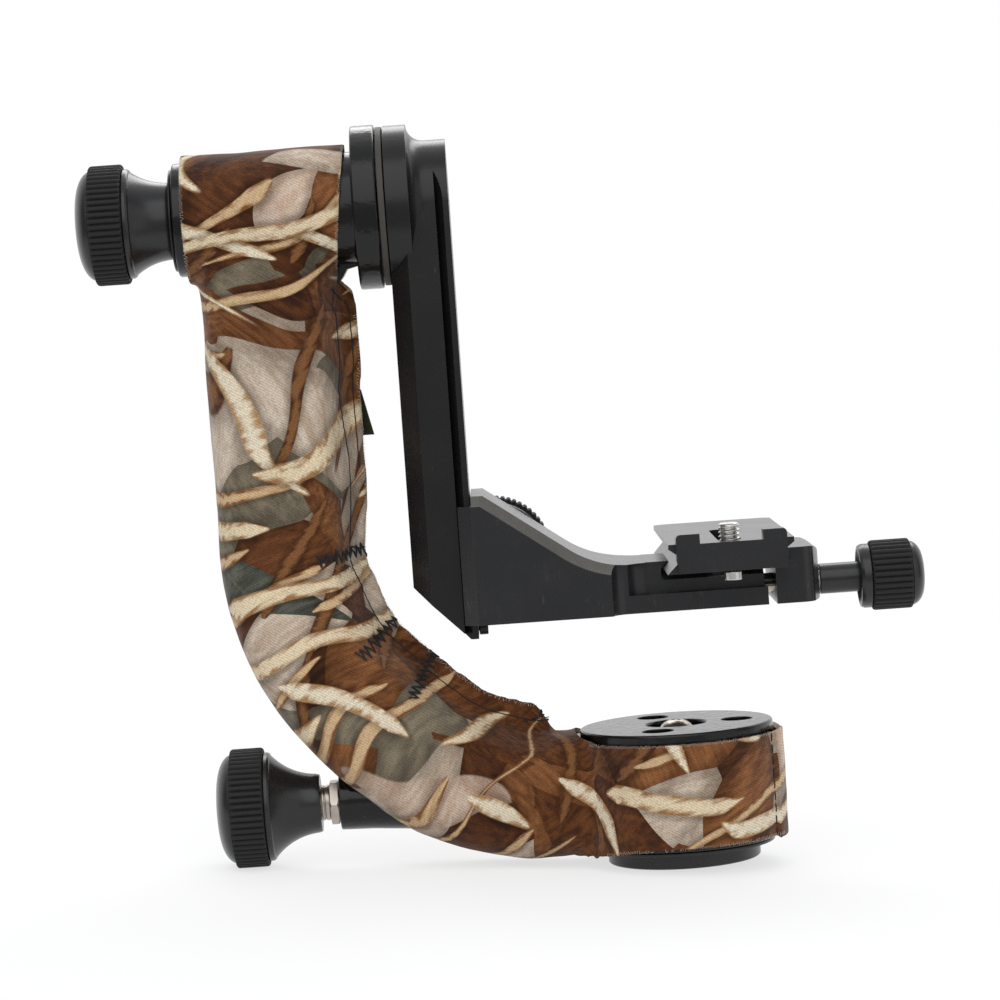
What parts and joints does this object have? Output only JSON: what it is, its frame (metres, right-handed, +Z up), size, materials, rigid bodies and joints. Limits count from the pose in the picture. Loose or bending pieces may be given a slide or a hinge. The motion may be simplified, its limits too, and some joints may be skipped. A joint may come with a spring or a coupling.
{
  "type": "gimbal tripod head",
  "caption": "Gimbal tripod head: panning foot, curved cast arm in a soft sleeve, side swing arm on a dovetail rail, and a lens platform with quick-release clamp and plate.",
  "frame": {"origin": "centre of the foot's underside, on the pan axis, at the mouth of the tripod socket", "axes": "+Z up along the pan axis, +X from the curved arm towards the quick-release knob along the tilt axis, +Y away from the camera screw's end of the lens plate, towards the platform's rear knob"},
  "size_m": [0.2497, 0.1005, 0.2297],
  "materials": {
    "anodised": "satin black anodised, with a thin bright edge",
    "wrinkle_paint": "glossy black wrinkle paint",
    "grip_rubber": "matte, fine axial ribs",
    "steel": "satin turned",
    "black_steel": "black oxide",
    "washer_plastic": "matte grey-brown",
    "cover_fabric": "printed knit over foam, camouflage pattern",
    "tag_fabric": "woven loop",
    "polished_steel": "polished stainless"
  },
  "bodies": {
    "foot": {"base_foot": "wrinkle_paint", "spindle_washer": "steel", "spindle_nut": "steel"},
    "arm": {"vertical_arm": "wrinkle_paint", "pan_hub": "anodised", "pan_bearing_lower": "steel", "pan_bearing_upper": "steel", "hub_screw_1": "black_steel", "hub_screw_2": "black_steel", "hub_screw_3": "black_steel", "tilt_bearing_left": "steel", "tilt_bearing_right": "steel", "jam_nut": "steel", "lock_sleeve": "steel", "thrust_washer": "black_steel", "arm_cover": "cover_fabric", "cover_tag": "tag_fabric"},
    "pan_brake": {"push_rod": "steel", "brake_shoe": "washer_plastic"},
    "pan_knob": {"pan_knob": "anodised", "pan_knob_grip": "grip_rubber", "pan_knob_stud": "steel"},
    "swing": {"swing_arm": "anodised", "tilt_axle": "steel", "axle_screw": "black_steel", "friction_washer": "washer_plastic", "rail_stop_screw": "black_steel"},
    "tilt_knob": {"tilt_knob": "anodised", "tilt_knob_grip": "grip_rubber"},
    "platform": {"platform_bracket": "anodised", "clamp_guide_pin_front": "steel", "clamp_guide_pin_rear": "steel", "jaw_guide_pin_lower": "steel", "jaw_guide_pin_upper": "steel"},
    "platform_jaw": {"platform_jaw": "anodised"},
    "platform_knob": {"platform_knob": "anodised", "platform_knob_grip": "grip_rubber", "platform_clamp_screw": "steel"},
    "clamp_jaw": {"quick_release_jaw": "anodised"},
    "clamp_knob": {"clamp_knob": "anodised", "clamp_knob_grip": "grip_rubber", "clamp_screw": "steel"},
    "plate": {"quick_release_plate": "anodised", "plate_stop_screw_front": "polished_steel", "plate_stop_screw_rear": "polished_steel"},
    "screw_retainer": {"slot_washer": "washer_plastic"},
    "camera_screw": {"camera_screw": "polished_steel"}
  },
  "joints": [
    {"name": "pan", "type": "hinge", "parent": "foot", "child": "arm", "pos_m": [0, 0, 0], "axis": [0, 0, 1], "continuous": true},
    {"name": "pan_brake_slide", "type": "slide", "parent": "arm", "child": "pan_brake", "axis": [-1, 0, 0], "range_m": [0, 0.000423]},
    {"name": "pan_knob_turn", "type": "hinge", "parent": "arm", "child": "pan_knob", "pos_m": [-0.11, 0, 0.0245], "axis": [1, 0, 0], "range_deg": [0, 120]},
    {"name": "tilt", "type": "hinge", "parent": "arm", "child": "swing", "pos_m": [-0.078, 0, 0.2049], "axis": [1, 0, 0], "continuous": true},
    {"name": "tilt_knob_turn", "type": "hinge", "parent": "swing", "child": "tilt_knob", "pos_m": [-0.15, 0, 0.2049], "axis": [1, 0, 0], "range_deg": [0, 720]},
    {"name": "platform_slide", "type": "slide", "parent": "swing", "child": "platform", "axis": [0, 0, 1], "range_m": [0, 0.088]},
    {"name": "platform_jaw_slide", "type": "slide", "parent": "platform", "child": "platform_jaw", "axis": [0, 1, 0], "range_m": [0, 0.0025]},
    {"name": "platform_knob_turn", "type": "hinge", "parent": "platform_jaw", "child": "platform_knob", "pos_m": [-0.0519, 0.03, 0.0943], "axis": [0, 1, 0], "range_deg": [0, 720]},
    {"name": "clamp_jaw_slide", "type": "slide", "parent": "platform", "child": "clamp_jaw", "axis": [1, 0, 0], "range_m": [0, 0.005]},
    {"name": "clamp_knob_turn", "type": "hinge", "parent": "clamp_jaw", "child": "clamp_knob", "pos_m": [0.06, 0, 0.0825], "axis": [1, 0, 0], "range_deg": [0, 1800]},
    {"name": "plate_slide", "type": "slide", "parent": "platform", "child": "plate", "axis": [0, 1, 0], "range_m": [-0.025, 0.023]},
    {"name": "camera_screw_slide", "type": "slide", "parent": "plate", "child": "screw_retainer", "axis": [0, 1, 0], "range_m": [0, 0.041]},
    {"name": "camera_screw_turn", "type": "hinge", "parent": "screw_retainer", "child": "camera_screw", "pos_m": [0.0175, -0.0395, 0.095], "axis": [0, 0, 1], "continuous": true}
  ],
  "couplings": [
    {"joint": "pan_knob_turn", "follows": "pan_brake_slide", "rad_per_m": 4947},
    {"joint": "platform_knob_turn", "follows": "platform_jaw_slide", "rad_per_m": 5026.5},
    {"joint": "clamp_knob_turn", "follows": "clamp_jaw_slide", "rad_per_m": 6283.1}
  ]
}
